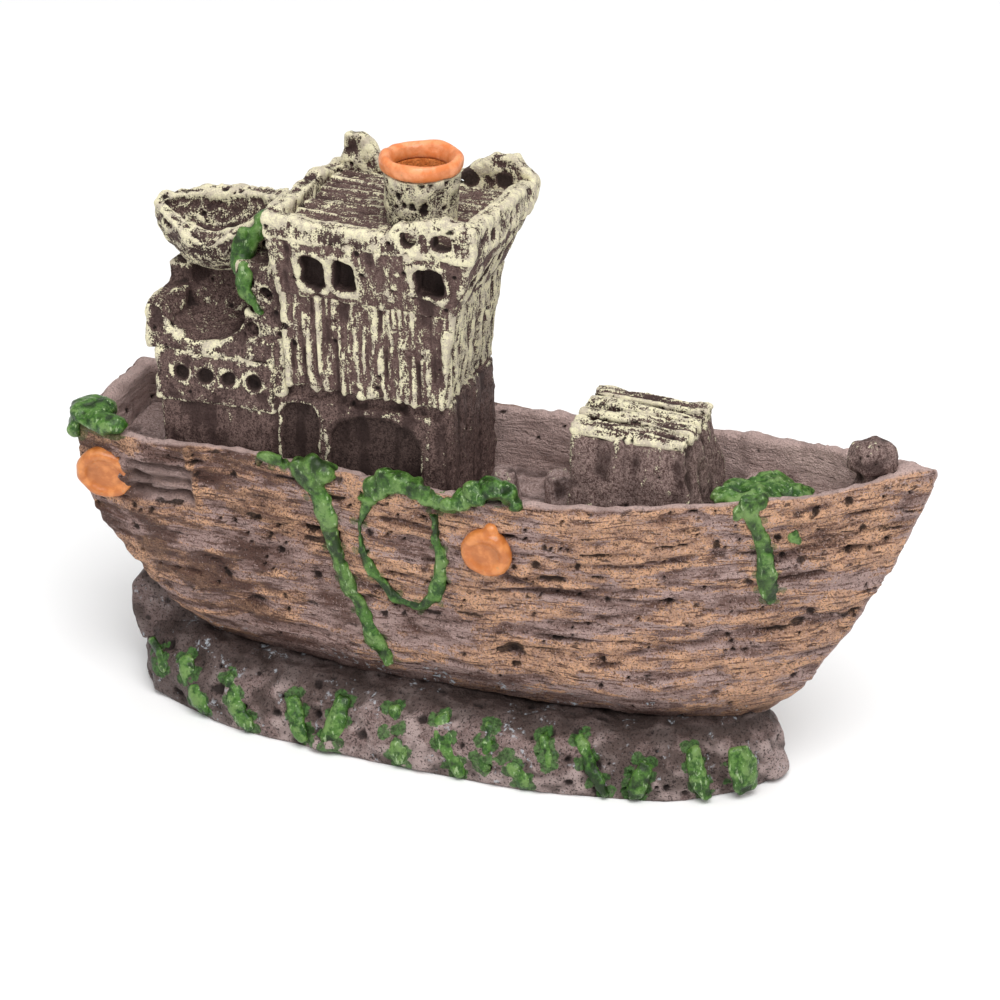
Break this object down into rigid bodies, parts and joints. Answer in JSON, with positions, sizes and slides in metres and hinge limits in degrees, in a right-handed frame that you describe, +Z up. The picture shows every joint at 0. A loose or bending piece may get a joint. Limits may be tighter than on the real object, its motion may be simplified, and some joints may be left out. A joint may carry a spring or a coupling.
{
  "type": "bubbling aquarium ornament",
  "caption": "Cast resin shipwreck on a rock plinth, painted with weed, with an air line inlet and an air stone in its open funnel.",
  "frame": {"origin": "on the resting face under the plinth, at the middle of the ship's beam and 6.2 mm forward of the plinth's centre", "axes": "+X towards the bow, along the ship; +Y to port; +Z up"},
  "size_m": [0.1163, 0.0403, 0.0818],
  "materials": {
    "hull_resin": "cast polyresin, dark mauve-brown wash with rust-tan dry-brushed planks",
    "base_resin": "cast polyresin, pitted rock in pinkish mauve-brown",
    "deck_resin": "cast polyresin, dull mauve-brown wash",
    "cabin_resin": "cast polyresin, dark mauve-brown with cream dry-brushed edges",
    "tower_resin": "cast polyresin, heavy cream dry-brushing over mauve-brown",
    "orange_enamel": "glossy orange paint over resin",
    "weed_enamel": "glossy thick green paint over raised resin",
    "inlet_plastic": "moulded black plastic",
    "tube_plastic": "milky airline tube",
    "stone_grit": "sintered grey-blue grit"
  },
  "bodies": {
    "ornament": {"seabed_base": "base_resin", "ship_hull": "hull_resin", "main_deck": "deck_resin", "foredeck": "deck_resin", "after_deck": "deck_resin", "rudder_post": "base_resin", "arcade_cabin": "cabin_resin", "porthole_cabin": "cabin_resin", "niche_cabin": "cabin_resin", "aft_boat": "cabin_resin", "tower": "tower_resin", "bridge_house": "tower_resin", "bridge_floor": "tower_resin", "bridge_parapet": "tower_resin", "funnel": "tower_resin", "funnel_rim": "orange_enamel", "cargo_hatch": "tower_resin", "hatch_boards": "tower_resin", "bow_knob": "deck_resin", "deck_posts": "deck_resin", "ring_starboard_aft": "orange_enamel", "ring_starboard_mid": "orange_enamel", "ring_port_aft": "orange_enamel", "ring_port_mid": "orange_enamel", "weed_stern": "weed_enamel", "weed_long_strand": "weed_enamel", "weed_loop": "weed_enamel", "weed_midships": "weed_enamel", "weed_bow_mat": "weed_enamel", "weed_bow_strand": "weed_enamel", "weed_tower": "weed_enamel", "weed_port_side": "weed_enamel", "weed_base": "weed_enamel", "air_elbow": "inlet_plastic", "riser_tube": "tube_plastic"},
    "stone_insert": {"air_stone": "stone_grit", "stone_nipple": "tube_plastic"}
  },
  "joints": [
    {"name": "air_stone_lift", "type": "slide", "parent": "ornament", "child": "stone_insert", "axis": [0, 0, 1], "range_m": [0, 0.022]}
  ]
}
